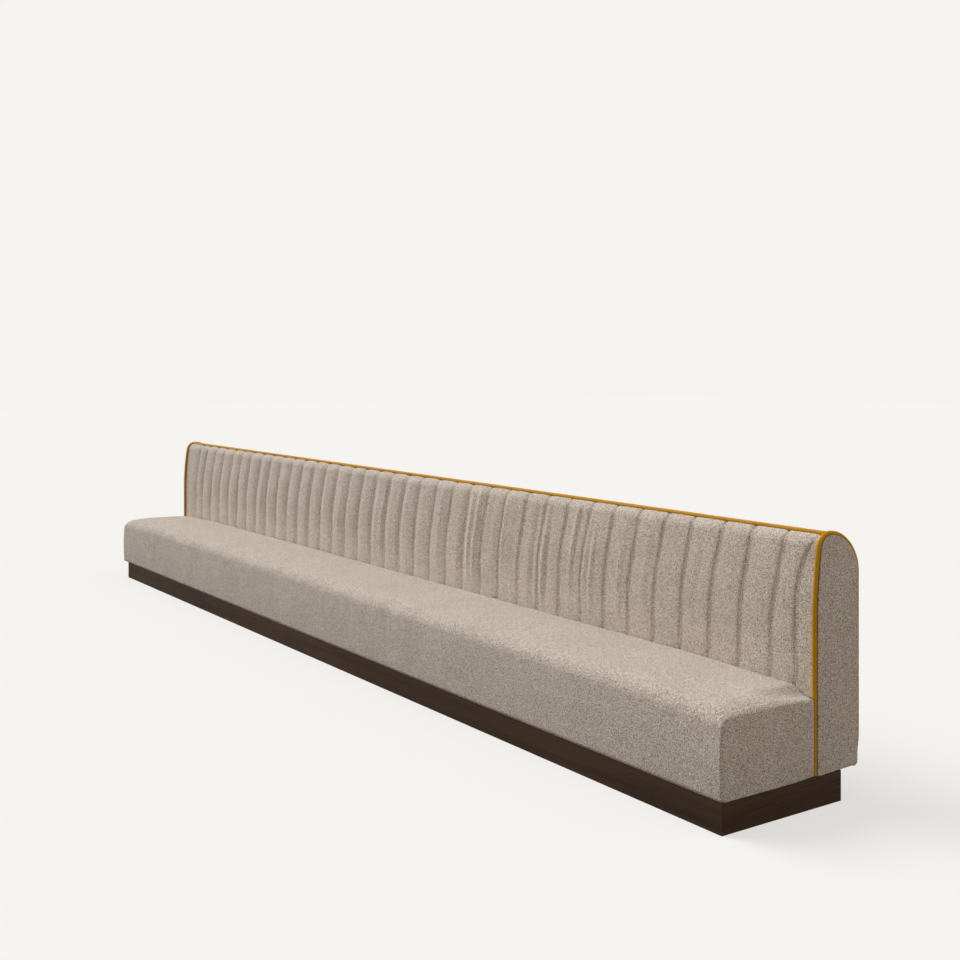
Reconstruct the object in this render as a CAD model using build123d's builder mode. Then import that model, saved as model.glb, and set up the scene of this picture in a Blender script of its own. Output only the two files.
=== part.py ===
from build123d import *
import os
from math import asin, cos, degrees, radians, sin

# Overall sizes: X runs along the bench, Y from the front to the wall, Z up from the floor
overall_length = 6400.0
overall_depth = 740.0
overall_height = 1016.0
plinth_height = 116.0
back_depth = 244.0
plinth_rear_setback = 100.0
wall_recess = 110.0

# Upholstery shared by seat and back
cover_thickness = 3.0
seam_clearance = 0.3
foam_clearance = 0.8
piping_diameter = 18.0
piping_proud = 11.0
end_panel_proud = 5.0
piping_sides = 8
overrun = 50.0

# Outline of the back, seen from the end: lean, brow, shoulder, haunch, tail and heel
lean_radius = 1850.0
lean_turn = 9.0
brow_radius = 58.0
shoulder_radius = 140.0
shoulder_turn = 24.0
haunch_turn = 50.0
heel_radius = 18.0
crest_piping_turn = 12.0

# Channels of the back
channel_thickness = 44.0
seam_recess = 22.0
near_strip = 110.0
far_strip = 224.0
narrow_channel = 128.0
channel_count = 35
channel_foot_drop = 70.0

# Seat cushion
seat_height = 457.0
seat_end_height = 444.0
seat_seam_height = 397.0
seat_end_round = 45.0
seat_crown = 8.0
seat_bulge = 5.0
seat_nose_radius = 70.0
seat_corner_radius = 35.0
crown_run = 600.0
pad_thickness = 17.0

# Timber
board_thickness = 18.0
back_board_thickness = 9.0
deck_height = 340.0
rail_width = 45.0
crest_rail_depth = 85.0
crest_rail_drop = 75.0
outside_back_thickness = 14.0
ribs_per_section = 4
rib_border = 60.0

# Plinth
plinth_end_setback = 3.0
bearer_count = 5

# Fasteners and floor brackets
bolt_diameter = 8.0
bolt_clearance = 0.3
bolt_head_width = 13.0
bolt_head_height = 5.3
bracket_leg = 40.0
bracket_width = 60.0
bracket_thickness = 3.0
bracket_hole_diameter = 6.5
bracket_hole_pitch = 36.0
bracket_count = 3

# Tail radius as a share of the haunch's; shares of the lean's and the brow's turn, and of the depth of the
# channels over the brow, at each section across them
haunch_tail_share = 0.75
lean_turn_shares = (1 / 3, 2 / 3, 1.0)
brow_turn_shares = (0.25, 0.5, 0.75, 1.0)
brow_recess_shares = (0.9, 0.7, 0.4, 0.1)
end_round_angles = (0.0, 30.0, 60.0, 90.0)

# Places worked out from the sizes above
front_y = -overall_depth / 2
rear_y = overall_depth / 2 - piping_proud
top_z = overall_height - piping_proud
end_x = overall_length / 2
piping_radius = piping_diameter / 2
piping_inset = piping_radius - piping_proud
edge_inset = piping_inset + piping_radius + seam_clearance
end_piping_x = end_x - end_panel_proud - piping_radius
carcass_end_x = end_piping_x - piping_radius - seam_clearance
crest_y = overall_depth / 2 - back_depth
channel_rear_y = crest_y + channel_thickness
board_front_y = front_y + seat_bulge + cover_thickness + pad_thickness
channel_pitch = (2 * end_x - near_strip - far_strip - 2 * narrow_channel) / channel_count

# Centres of the arcs of the back's outline
lean_foot_z = top_z - brow_radius - (lean_radius - brow_radius) * sin(radians(lean_turn))
lean_centre = Vector(crest_y + lean_radius, lean_foot_z)
brow_centre = lean_centre + Vector(-cos(radians(lean_turn)), sin(radians(lean_turn))) * (lean_radius - brow_radius)
shoulder_centre = Vector(brow_centre.X, top_z - shoulder_radius)
shoulder_end = radians(shoulder_turn)
haunch_end = radians(shoulder_turn + haunch_turn)
haunch_depth = rear_y - shoulder_centre.X - shoulder_radius * sin(shoulder_end)
haunch_radius = haunch_depth / (sin(haunch_end) - sin(shoulder_end) + haunch_tail_share * (1 - sin(haunch_end)))
haunch_centre = shoulder_centre + Vector(sin(shoulder_end), cos(shoulder_end)) * (shoulder_radius - haunch_radius)
tail_radius = haunch_tail_share * haunch_radius
tail_centre = haunch_centre + Vector(sin(haunch_end), cos(haunch_end)) * (haunch_radius - tail_radius)
tail_turn = 90 - shoulder_turn - haunch_turn
heel_centre = Vector(rear_y - heel_radius, plinth_height + heel_radius)
crest_piping_centre = brow_centre + Vector(
    -sin(radians(crest_piping_turn)), cos(radians(crest_piping_turn))
) * (brow_radius - piping_inset)
crest_piping_half_turn = degrees(
    asin((piping_radius + seam_clearance) / (brow_radius - piping_inset))
)
channel_end_turn = 90 - crest_piping_turn - crest_piping_half_turn
outside_back_turn = 90 - crest_piping_turn + crest_piping_half_turn

# Timber places
deck_foot_z = deck_height - board_thickness
rib_front_y = board_front_y + board_thickness
back_board_rear_y = channel_rear_y + back_board_thickness
frame_rear_y = rear_y - outside_back_thickness
frame_foot_z = plinth_height + outside_back_thickness
crest_rail_foot_z = top_z - outside_back_thickness - crest_rail_drop
crest_rail_rear_y = channel_rear_y + crest_rail_depth
plinth_front_y = front_y + seat_bulge
plinth_rear_y = rear_y - plinth_rear_setback
plinth_near_x = end_x - plinth_end_setback
plinth_far_x = -end_x + wall_recess
plinth_middle_x = (plinth_near_x + plinth_far_x) / 2
bracket_pitch = (plinth_near_x - plinth_far_x) / bracket_count
seat_middle_z = (plinth_height + deck_foot_z) / 2
bolt_places = [
    (rib_front_y + rib_border / 2, seat_middle_z),
    (back_board_rear_y + rib_border, crest_rail_foot_z - rib_border),
]


def back_outline(inset):
    """Closed line in the YZ plane, drawn inset inside the covered surface of the back."""
    front = Line((crest_y + inset, plinth_height + inset), (crest_y + inset, lean_foot_z))
    CenterArc(lean_centre, lean_radius - inset, 180, -lean_turn)
    CenterArc(brow_centre, brow_radius - inset, 180 - lean_turn, lean_turn - 90)
    CenterArc(shoulder_centre, shoulder_radius - inset, 90, -shoulder_turn)
    CenterArc(haunch_centre, haunch_radius - inset, 90 - shoulder_turn, -haunch_turn)
    tail = CenterArc(tail_centre, tail_radius - inset, tail_turn, -tail_turn)
    heel = CenterArc(heel_centre, heel_radius - inset, 0, -90)
    Line(tail @ 1, heel @ 0)
    Line(heel @ 1, front @ 0)


def behind_channels(inset):
    """Closed line round all that lies inset or more behind the channel crests."""
    end_turn = radians(channel_end_turn)
    outside = brow_centre + Vector(-cos(end_turn), sin(end_turn)) * (brow_radius + overrun)
    foot = Line((crest_y + inset, plinth_height), (crest_y + inset, lean_foot_z))
    CenterArc(lean_centre, lean_radius - inset, 180, -lean_turn)
    brow = CenterArc(brow_centre, brow_radius - inset, 180 - lean_turn, lean_turn - channel_end_turn)
    Polyline(brow @ 1, outside, (rear_y + overrun, outside.Y), (rear_y + overrun, plinth_height), foot @ 0)


def rectangle_between(low, high, mode=Mode.ADD):
    """Rectangle in the open sketch, between two corners."""
    with Locations(low):
        Rectangle(high[0] - low[0], high[1] - low[1], align=Align.MIN, mode=mode)


def rib_face(x, bolted):
    """Sketch of a plywood rib: seat part, back part, rail notches, two windows and any bolt holes."""
    window_width = back_board_rear_y - rib_front_y - 2 * rib_border
    window_height = deck_foot_z - plinth_height - 2 * rib_border
    slot_width = frame_rear_y - back_board_rear_y - 2 * rib_border
    slot_height = crest_rail_foot_z - deck_height - 4 * rib_border
    slot_middle = (back_board_rear_y + frame_rear_y) / 2, (deck_height + crest_rail_foot_z) / 2
    with BuildSketch(Plane.YZ.offset(x)) as face:
        with BuildLine():
            back_outline(outside_back_thickness)
        make_face()
        with BuildLine():
            behind_channels(channel_thickness + back_board_thickness)
        make_face(mode=Mode.INTERSECT)
        rectangle_between((rib_front_y, plinth_height), (back_board_rear_y, deck_foot_z))
        rectangle_between((rib_front_y, plinth_height), (plinth_rear_y, deck_foot_z))
        crest_rail_corner = (crest_rail_rear_y, top_z)
        rectangle_between((channel_rear_y, crest_rail_foot_z), crest_rail_corner, Mode.SUBTRACT)
        rear_rail_corner = (frame_rear_y, frame_foot_z + rail_width)
        rectangle_between((frame_rear_y - rail_width, plinth_height), rear_rail_corner, Mode.SUBTRACT)
        with Locations(((rib_front_y + back_board_rear_y) / 2, seat_middle_z)):
            Rectangle(window_width, window_height, mode=Mode.SUBTRACT)
        with Locations(slot_middle):
            Rectangle(slot_width, slot_height, mode=Mode.SUBTRACT)
        if bolted:
            with Locations(*bolt_places):
                Circle(bolt_diameter / 2 + bolt_clearance, mode=Mode.SUBTRACT)
    return face.sketch


def crest_plane(turn, height=0):
    """Plane square to the channels where the back's front has turned by turn degrees, depth along its Y."""
    forward = Vector(0, -cos(radians(turn)), sin(radians(turn)))
    if turn == 0:
        place = Vector(0, crest_y, height)
    elif turn <= lean_turn:
        place = Vector(0, lean_centre.X, lean_centre.Y) + forward * lean_radius
    else:
        place = Vector(0, brow_centre.X, brow_centre.Y) + forward * brow_radius
    return Plane(origin=place, x_dir=(1, 0, 0), z_dir=(0, sin(radians(turn)), cos(radians(turn))))


def channel_edges():
    """Edges of the channels along the bench, from the near end to the far end."""
    edges = [carcass_end_x, end_x - near_strip, end_x - near_strip - narrow_channel]
    for _ in range(channel_count):
        edges.append(edges[-1] - channel_pitch)
    return [*edges, edges[-1] - narrow_channel, -carcass_end_x]


def channel_section(plane, edges, recess):
    """Face across a row of channels, edges rising: crests at depth zero, sewn seams drawn back by recess."""
    fronts = [Vector(x, 0 if abs(x) == carcass_end_x else recess) for x in edges]
    with BuildSketch(plane) as section:
        with BuildLine():
            for left, right in zip(fronts, fronts[1:]):
                if left.Y == right.Y:
                    ThreePointArc(left, ((left.X + right.X) / 2, 0), right)
                elif left.Y < right.Y:
                    TangentArc(left, right, tangent=(1, 0))
                else:
                    TangentArc(right, left, tangent=(-1, 0))
            rear = channel_thickness - foam_clearance
            Polyline(fronts[0], (edges[0], rear), (edges[-1], rear), fronts[-1])
        make_face()
    return section.sketch


def channel_stations():
    """Planes and seam recesses of the channels, from behind the seat up to the crest piping."""
    foot_z = seat_end_height - channel_foot_drop
    stations = [(crest_plane(0, foot_z), seam_recess), (crest_plane(0, lean_foot_z), seam_recess)]
    for turn_share in lean_turn_shares:
        stations.append((crest_plane(lean_turn * turn_share), seam_recess))
    for turn_share, recess_share in zip(brow_turn_shares, brow_recess_shares):
        turn = lean_turn + (channel_end_turn - lean_turn) * turn_share
        stations.append((crest_plane(turn), seam_recess * recess_share))
    return stations


def seat_section(x, blend, top, inset):
    """Face across the seat at x: bulged front, rounded nose, crowned top. Blend runs to 1 at the end seam."""
    nose = seat_nose_radius + (seat_corner_radius - seat_nose_radius) * blend - inset
    foot_y = front_y + seat_bulge + inset
    rear = channel_rear_y - inset
    nose_foot = Vector(foot_y, top - inset - seat_crown - nose)
    with BuildSketch(Plane.YZ.offset(x)) as section:
        with BuildLine():
            bulge_middle = (foot_y - seat_bulge, (plinth_height + nose_foot.Y) / 2)
            front = ThreePointArc((foot_y, plinth_height), bulge_middle, nose_foot)
            nose_arc = CenterArc(nose_foot + Vector(nose, 0), nose, 180, -90)
            top_middle = ((foot_y + nose + rear) / 2, top - inset)
            top_line = ThreePointArc(nose_arc @ 1, top_middle, (rear, top - inset - seat_crown))
            Polyline(top_line @ 1, (rear, plinth_height), front @ 0)
        make_face()
    return section.sketch


def seat_form(inset):
    """Closed form of the seat, drawn inset inside its cover, cut back where the back's end panels stand."""
    round_x = end_x - seat_end_round
    near_half = [seat_section(round_x - crown_run, 0, seat_height, inset)]
    far_half = [seat_section(crown_run - round_x, 0, seat_height, inset)]
    for angle in end_round_angles:
        x = round_x + (seat_end_round - inset) * sin(radians(angle))
        blend = 1 - cos(radians(angle))
        top = seat_end_height + (seat_seam_height - seat_end_height) * blend
        near_half.append(seat_section(x, blend, top, inset))
        far_half.append(seat_section(-x, blend, top, inset))
    panel_y = crest_y + piping_inset - piping_radius - seam_clearance - inset
    panel_x = carcass_end_x - inset
    with BuildPart() as form:
        loft(far_half[::-1] + near_half, ruled=True)
        for low_x, high_x in ((-end_x - overrun, -panel_x), (panel_x, end_x + overrun)):
            with BuildSketch(Plane.YZ.offset(low_x)):
                rectangle_between((panel_y, plinth_height), (rear_y, top_z))
            extrude(amount=high_x - low_x, mode=Mode.SUBTRACT)
    return form.part


def seat_top_block(gap):
    """Solid up to the line where the channels meet the seat's top, raised by gap."""
    crown_middle_y = (front_y + seat_bulge + seat_nose_radius + channel_rear_y) / 2
    drop = seat_crown * ((crest_y - crown_middle_y) / (channel_rear_y - crown_middle_y)) ** 2 - gap
    round_x = end_x - seat_end_round
    level_x = round_x - crown_run
    centre_z = seat_seam_height - drop
    radii = seat_end_round + gap, seat_end_height - seat_seam_height
    with BuildPart() as block:
        with BuildSketch(Plane.XZ):
            with BuildLine():
                near = EllipticalCenterArc((round_x, centre_z), *radii, start_angle=0, arc_size=90)
                far = EllipticalCenterArc((-round_x, centre_z), *radii, start_angle=90, arc_size=90)
                Polyline(near @ 1, (level_x, seat_height - drop), (-level_x, seat_height - drop), far @ 0)
                Polyline(far @ 1, ((far @ 1).X, 0), ((near @ 0).X, 0), near @ 0)
            make_face()
        extrude(amount=overall_depth, both=True)
    return block.part


def keep_between(low, high):
    """Keep only what the open part has between two corners."""
    with Locations(low):
        Box(*(Vector(high) - Vector(low)), align=Align.MIN, mode=Mode.INTERSECT)


def end_piping_line():
    """Line of the piping round an end of the back: up the front, over the crest, down the rear, round the heel."""
    with BuildLine() as route:
        inset = piping_inset
        Line((crest_y + inset, plinth_height), (crest_y + inset, lean_foot_z))
        CenterArc(lean_centre, lean_radius - inset, 180, -lean_turn)
        CenterArc(brow_centre, brow_radius - inset, 180 - lean_turn, lean_turn - 90)
        CenterArc(shoulder_centre, shoulder_radius - inset, 90, -shoulder_turn)
        CenterArc(haunch_centre, haunch_radius - inset, 90 - shoulder_turn, -haunch_turn)
        tail = CenterArc(tail_centre, tail_radius - inset, tail_turn, -tail_turn)
        heel = CenterArc(heel_centre, heel_radius - inset, 0, -90)
        Line(tail @ 1, heel @ 0)
    return route.line


def write(node, name):
    """Label a finished piece and write it under its name."""
    node.part.label = name
    export_step(node.part, f"parts/{name}.step")


os.makedirs("parts", exist_ok=True)
edges = channel_edges()
section_names = ("near", "middle", "far")
joint_edges = [index * (len(edges) - 1) // len(section_names) for index in range(len(section_names) + 1)]
section_ends = [edges[index] for index in joint_edges]
sections = list(zip(section_names, section_ends, section_ends[1:]))

# Seat cover and the foam inside it
outer_form = seat_form(0)
inner_form = seat_form(cover_thickness)

with BuildPart() as seat_cover:
    add(outer_form)
    add(inner_form, mode=Mode.SUBTRACT)
    with BuildSketch(Plane.XY.offset(plinth_height)):
        rectangle_between((-carcass_end_x, rib_front_y), (carcass_end_x, rear_y))
    extrude(amount=deck_height - plinth_height, mode=Mode.SUBTRACT)
write(seat_cover, "seat_cover")

with BuildPart() as seat_foam:
    add(inner_form)
    keep_between((-end_x, front_y, deck_height), (end_x, rear_y, top_z))
write(seat_foam, "seat_foam")

with BuildPart() as seat_front_pad:
    add(inner_form)
    keep_between((-carcass_end_x, front_y, plinth_height), (carcass_end_x, board_front_y, deck_height))
write(seat_front_pad, "seat_front_pad")

for name, side_x in (("near", carcass_end_x), ("far", -end_x)):
    with BuildPart() as seat_end_pad:
        add(inner_form)
        keep_between((side_x, front_y, plinth_height), (side_x + end_x - carcass_end_x, rear_y, deck_height))
    write(seat_end_pad, f"{name}_seat_end_pad")

# Channelled panels of the back, one to a section, ending on the seat and under the crest piping
seat_top = seat_top_block(seam_clearance)
for (name, _, _), first, last in zip(sections, joint_edges, joint_edges[1:]):
    with BuildPart() as back_channels:
        row = edges[last:first:-1] + [edges[first]]
        loft([channel_section(plane, row, recess) for plane, recess in channel_stations()], ruled=True)
        add(seat_top, mode=Mode.SUBTRACT)
    write(back_channels, f"{name}_back_channels")

# Padded outside back, from the crest piping over the shoulder, down the rear and under the heel
with BuildPart() as outside_back:
    with BuildSketch(Plane.YZ.offset(-carcass_end_x)):
        with BuildLine():
            back_outline(0)
        make_face()
        with BuildLine():
            back_outline(outside_back_thickness)
        make_face(mode=Mode.SUBTRACT)
        start_turn = radians(outside_back_turn)
        start = brow_centre + Vector(-cos(start_turn), sin(start_turn)) * (brow_radius + overrun)
        with BuildLine():
            Polyline(brow_centre, start, (front_y, start.Y), (front_y, plinth_height - overrun), close=False)
            Polyline((front_y, plinth_height - overrun), (brow_centre.X, plinth_height - overrun), brow_centre)
        make_face(mode=Mode.SUBTRACT)
        rectangle_between((crest_y, plinth_height), (plinth_rear_y, frame_foot_z), Mode.SUBTRACT)
    extrude(amount=2 * carcass_end_x)
write(outside_back, "outside_back")

# End panels of the back, inside their piping and swelling over it to the body's own outline
lip_x = end_piping_x + piping_radius + seam_clearance
for name, side in (("near", 1), ("far", -1)):
    with BuildPart() as end_panel:
        with BuildSketch(Plane.YZ.offset(side * carcass_end_x)):
            with BuildLine():
                back_outline(edge_inset)
            make_face()
        extrude(amount=side * (lip_x - carcass_end_x))
        with BuildSketch(Plane.YZ.offset(side * lip_x)):
            with BuildLine():
                back_outline(0)
            make_face()
        extrude(amount=side * (end_x - lip_x))
        outer_face = end_panel.faces().sort_by(Axis.X)[-1 if side > 0 else 0]
        chamfer(outer_face.edges(), cover_thickness)
    write(end_panel, f"{name}_back_end_panel")

# Piping: one line along the crest and one round each end of the back
crest_piping_end_x = end_piping_x - piping_radius - seam_clearance
with BuildPart() as crest_piping:
    with BuildSketch(Plane.YZ.offset(-crest_piping_end_x)):
        with Locations(crest_piping_centre):
            Circle(piping_radius)
    extrude(amount=2 * crest_piping_end_x)
write(crest_piping, "crest_piping")

for name, side in (("near", 1), ("far", -1)):
    route = Plane.YZ.offset(side * end_piping_x) * end_piping_line()
    with BuildPart() as end_piping:
        with BuildSketch(Plane(origin=route @ 0, z_dir=route % 0)):
            RegularPolygon(piping_radius, piping_sides)
        sweep(path=route)
    write(end_piping, f"{name}_end_piping")

# Plywood ribs, five to a section, the outer two of each section bolted to their neighbours
for name, near_x, far_x in sections:
    spacing = (near_x - far_x - board_thickness) / (ribs_per_section - 1)
    for index in range(ribs_per_section):
        far_face_x = near_x - board_thickness - index * spacing
        bolted = (index == 0 and name != "near") or (index == ribs_per_section - 1 and name != "far")
        with BuildPart() as rib:
            extrude(rib_face(far_face_x, bolted), amount=board_thickness)
        write(rib, f"{name}_rib_{index + 1}")

# Boards and rails of each section
for name, near_x, far_x in sections:
    length = near_x - far_x
    with BuildPart() as front_board:
        with BuildSketch(Plane.YZ.offset(far_x)):
            rectangle_between((board_front_y, plinth_height), (rib_front_y, deck_foot_z))
        extrude(amount=length)
    write(front_board, f"{name}_front_board")

    with BuildPart() as deck:
        with BuildSketch(Plane.XY.offset(deck_foot_z)):
            rectangle_between((far_x, board_front_y), (near_x, back_board_rear_y))
        extrude(amount=board_thickness)
    write(deck, f"{name}_seat_deck")

    with BuildPart() as back_board:
        with BuildSketch(Plane.YZ.offset(far_x)):
            with BuildLine():
                behind_channels(channel_thickness)
            make_face()
            with BuildLine():
                behind_channels(channel_thickness + back_board_thickness)
            make_face(mode=Mode.SUBTRACT)
            board_middle_z = (deck_height + crest_rail_foot_z) / 2
            with Locations((crest_y, board_middle_z)):
                Rectangle(overall_depth, crest_rail_foot_z - deck_height, mode=Mode.INTERSECT)
        extrude(amount=length)
    write(back_board, f"{name}_back_board")

    with BuildPart() as crest_rail:
        with BuildSketch(Plane.YZ.offset(far_x)):
            with BuildLine():
                back_outline(outside_back_thickness)
            make_face()
            with BuildLine():
                behind_channels(channel_thickness)
            make_face(mode=Mode.INTERSECT)
            with Locations((crest_rail_rear_y, crest_rail_foot_z)):
                Rectangle(overall_depth, overall_height, align=(Align.MAX, Align.MIN), mode=Mode.INTERSECT)
        extrude(amount=length)
    write(crest_rail, f"{name}_crest_rail")

    with BuildPart() as rear_rail:
        with BuildSketch(Plane.YZ.offset(far_x)):
            rectangle_between((frame_rear_y - rail_width, frame_foot_z), (frame_rear_y, frame_foot_z + rail_width))
        extrude(amount=length)
        heel_edge = rear_rail.edges().filter_by(Axis.X).group_by(Axis.Z)[0].sort_by(Axis.Y)[-1]
        fillet(heel_edge, heel_radius - outside_back_thickness)
    write(rear_rail, f"{name}_rear_rail")

# Plinth: boards mitred at the corners, in two lengths that meet on the middle bearer
for name, corner_x in (("near", plinth_near_x), ("far", plinth_far_x)):
    inner_x = corner_x + (board_thickness if corner_x < plinth_middle_x else -board_thickness)
    inner_front_y = plinth_front_y + board_thickness
    inner_rear_y = plinth_rear_y - board_thickness
    outlines = {
        f"{name}_plinth_front": [
            (corner_x, plinth_front_y),
            (inner_x, inner_front_y),
            (plinth_middle_x, inner_front_y),
            (plinth_middle_x, plinth_front_y),
        ],
        f"{name}_plinth_rear": [
            (corner_x, plinth_rear_y),
            (inner_x, inner_rear_y),
            (plinth_middle_x, inner_rear_y),
            (plinth_middle_x, plinth_rear_y),
        ],
        f"{name}_plinth_end": [
            (corner_x, plinth_front_y),
            (inner_x, inner_front_y),
            (inner_x, inner_rear_y),
            (corner_x, plinth_rear_y),
        ],
    }
    for piece_name, corners in outlines.items():
        with BuildPart() as plinth_board:
            with BuildSketch():
                with BuildLine():
                    Polyline(*corners, close=True)
                make_face()
            extrude(amount=plinth_height)
        write(plinth_board, piece_name)

bearer_pitch = (plinth_near_x - plinth_far_x) / (bearer_count + 1)
for index in range(bearer_count):
    bearer_x = plinth_near_x - (index + 1) * bearer_pitch
    with BuildPart() as bearer:
        with BuildSketch():
            rectangle_between(
                (bearer_x - board_thickness / 2, plinth_front_y + board_thickness),
                (bearer_x + board_thickness / 2, plinth_rear_y - board_thickness),
            )
        extrude(amount=plinth_height)
    write(bearer, f"plinth_bearer_{index + 1}")

# Bolts that draw the sections together, through the ribs on both sides of each joint
with BuildPart() as joint_bolts:
    for joint_x in section_ends[1:-1]:
        with BuildSketch(Plane.YZ.offset(joint_x + board_thickness)):
            with Locations(*bolt_places):
                RegularPolygon(bolt_head_width / 2, 6, major_radius=False)
        extrude(amount=bolt_head_height)
        with BuildSketch(Plane.YZ.offset(joint_x - board_thickness)):
            with Locations(*bolt_places):
                Circle(bolt_diameter / 2)
        extrude(amount=2 * board_thickness)
write(joint_bolts, "joint_bolts")

# Steel angles that hold the plinth to the floor, behind its rear board
floor_leg_middle_y = plinth_rear_y + (bracket_leg + bracket_thickness) / 2
with BuildPart() as floor_brackets:
    with BuildSketch(Plane.XY):
        with Locations((plinth_middle_x, plinth_rear_y)):
            with GridLocations(bracket_pitch, 0, bracket_count, 1):
                Rectangle(bracket_width, bracket_leg, align=(Align.CENTER, Align.MIN))
        with Locations((plinth_middle_x, floor_leg_middle_y)):
            with GridLocations(bracket_pitch, 0, bracket_count, 1):
                with GridLocations(bracket_hole_pitch, 0, 2, 1):
                    Circle(bracket_hole_diameter / 2, mode=Mode.SUBTRACT)
    extrude(amount=bracket_thickness)
    with BuildSketch(Plane.XZ.offset(-plinth_rear_y)):
        with Locations((plinth_middle_x, 0)):
            with GridLocations(bracket_pitch, 0, bracket_count, 1):
                Rectangle(bracket_width, bracket_leg, align=(Align.CENTER, Align.MIN))
        with Locations((plinth_middle_x, (bracket_leg + bracket_thickness) / 2)):
            with GridLocations(bracket_pitch, 0, bracket_count, 1):
                Circle(bracket_hole_diameter / 2, mode=Mode.SUBTRACT)
    extrude(amount=-bracket_thickness)
write(floor_brackets, "floor_brackets")
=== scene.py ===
from math import atan2, cos, radians, sin
import bmesh
import bpy
import numpy as np
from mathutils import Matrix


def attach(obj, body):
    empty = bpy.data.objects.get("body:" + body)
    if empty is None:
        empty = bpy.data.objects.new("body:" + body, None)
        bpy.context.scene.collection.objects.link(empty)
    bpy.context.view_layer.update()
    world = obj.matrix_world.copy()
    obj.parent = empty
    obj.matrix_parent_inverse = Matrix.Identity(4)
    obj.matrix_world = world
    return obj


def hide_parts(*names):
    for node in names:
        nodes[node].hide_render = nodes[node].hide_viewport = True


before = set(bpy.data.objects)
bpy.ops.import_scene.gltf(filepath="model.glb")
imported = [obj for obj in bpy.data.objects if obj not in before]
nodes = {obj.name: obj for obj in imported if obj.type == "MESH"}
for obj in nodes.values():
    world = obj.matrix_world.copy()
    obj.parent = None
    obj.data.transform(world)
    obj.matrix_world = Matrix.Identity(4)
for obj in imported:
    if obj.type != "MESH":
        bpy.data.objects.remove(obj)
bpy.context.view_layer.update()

# Seat: one fabric cover, boxed at the ends, pulled over foam that is crowned on top and rounded at the nose.
# The cover is cut from flat cloth, sewn down the front corners and stapled under the front board, so its long
# top and front keep slight hollows where the cloth is drawn back to the frame.
body_end = 3.200
carcass_end = 3.1767
plinth_top = 0.116
deck_top = 0.3403
board_front = -0.3457
seat_front = -0.365
seat_rear = 0.1245
seat_rear_at_panel = 0.1147
seat_top = 0.457
seat_crown = 0.008
seat_bulge = 0.005
nose_radius, corner_nose_radius = 0.070, 0.035
rear_round = 0.011
turned_under = 0.020

seat_end_top = 0.444
seat_end_seam = 0.4015
seat_end_turn = radians(48)
seat_end_edge = 0.0025
seat_level_run = 0.600
roll_radius = (seat_end_top - seat_end_seam) / (1 - cos(seat_end_turn))
roll_start = body_end - seat_end_edge - roll_radius * sin(seat_end_turn)
level_end = roll_start - seat_level_run
slope_depth = 0.024
slope_from, slope_over = 3.085, 0.055
slope_back_from, slope_back_over = 3.150, 0.0475
slope_front, slope_length = -0.22, 0.34
corner_round = 0.014
end_middle = (-0.130, 0.250)
end_swell = 0.0026
rear_tuck, rear_tuck_run = 0.0125, 0.022
seam_station, seam_start, seam_points = 12, 19, 70
seam_groove = ((-2, 0.003), (-1, 0.009), (0, 0.015), (1, 0.008))

top_hollow, top_sag = 0.0022, 0.0018
front_hollow, front_pull = 0.0009, 0.0010
nose_lift, nose_push = 0.0020, 0.0018


def smooth(value):
    """Eased step: 0 below 0, 1 above 1, three squares less two cubes between."""
    value = np.clip(value, 0, 1)
    return value * value * (3 - 2 * value)


def swell(share):
    """Parabola: 0 at the shares 0 and 1, and 1 half way."""
    return 1 - (2 * share - 1) ** 2


def quarter_round(share):
    """Quarter of a circle: 0 and level up to the share 0, 1 and upright at the share 1."""
    return 1 - np.sqrt(1 - np.clip(share, 0, 1) ** 2)


def bell(value):
    """Bell curve: 1 at 0, and next to nothing beyond 2 on either side."""
    return np.exp(-value ** 2)


def sway(along, across, seed, long, short):
    """Gentle unevenness, mostly between -1 and 1: a sum of nine slanted sine waves, graded from the long wavelength
    to the short one and the longest highest, with random slants and phases."""
    rng = np.random.default_rng(seed)
    total = np.zeros(np.broadcast(along, across).shape)
    for length in np.geomspace(long, short, 9):
        lean, phase = rng.uniform(-0.8, 0.8), rng.uniform(0, 2 * np.pi)
        total = total + length / long * np.sin((along + lean * across) * 2 * np.pi / length + phase)
    return total / 2.2


def closed_piece(name, points, quads):
    """Smooth piece from an array of points and the quads between them. Points that fall together, as at a pole, are
    merged, and faces are turned outwards."""
    mesh = bpy.data.meshes.new(name)
    mesh.from_pydata(points.reshape(-1, 3).tolist(), [], quads.reshape(-1, 4).tolist())
    shape = bmesh.new()
    shape.from_mesh(mesh)
    bmesh.ops.remove_doubles(shape, verts=shape.verts, dist=1e-6)
    bmesh.ops.dissolve_degenerate(shape, edges=shape.edges, dist=1e-7)
    bmesh.ops.recalc_face_normals(shape, faces=shape.faces)
    shape.to_mesh(mesh)
    shape.free()
    mesh.polygons.foreach_set("use_smooth", np.ones(len(mesh.polygons), dtype=bool))
    piece = bpy.data.objects.new(name, mesh)
    bpy.context.scene.collection.objects.link(piece)
    return piece


def rounds(grids):
    """Quads over grids of point numbers, whose last two directions are a grid's: each row joins the next, and goes
    round to its own first point."""
    rows = np.concatenate([grids, grids[..., :1]], axis=-1)
    return np.stack([rows[..., :-1, :-1], rows[..., 1:, :-1], rows[..., 1:, 1:], rows[..., :-1, 1:]], axis=-1)


def surface(name, loops):
    """Piece over closed loops of points, one loop after another."""
    return closed_piece(name, loops, rounds(np.arange(loops[..., 0].size).reshape(loops.shape[:-1])))


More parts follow.
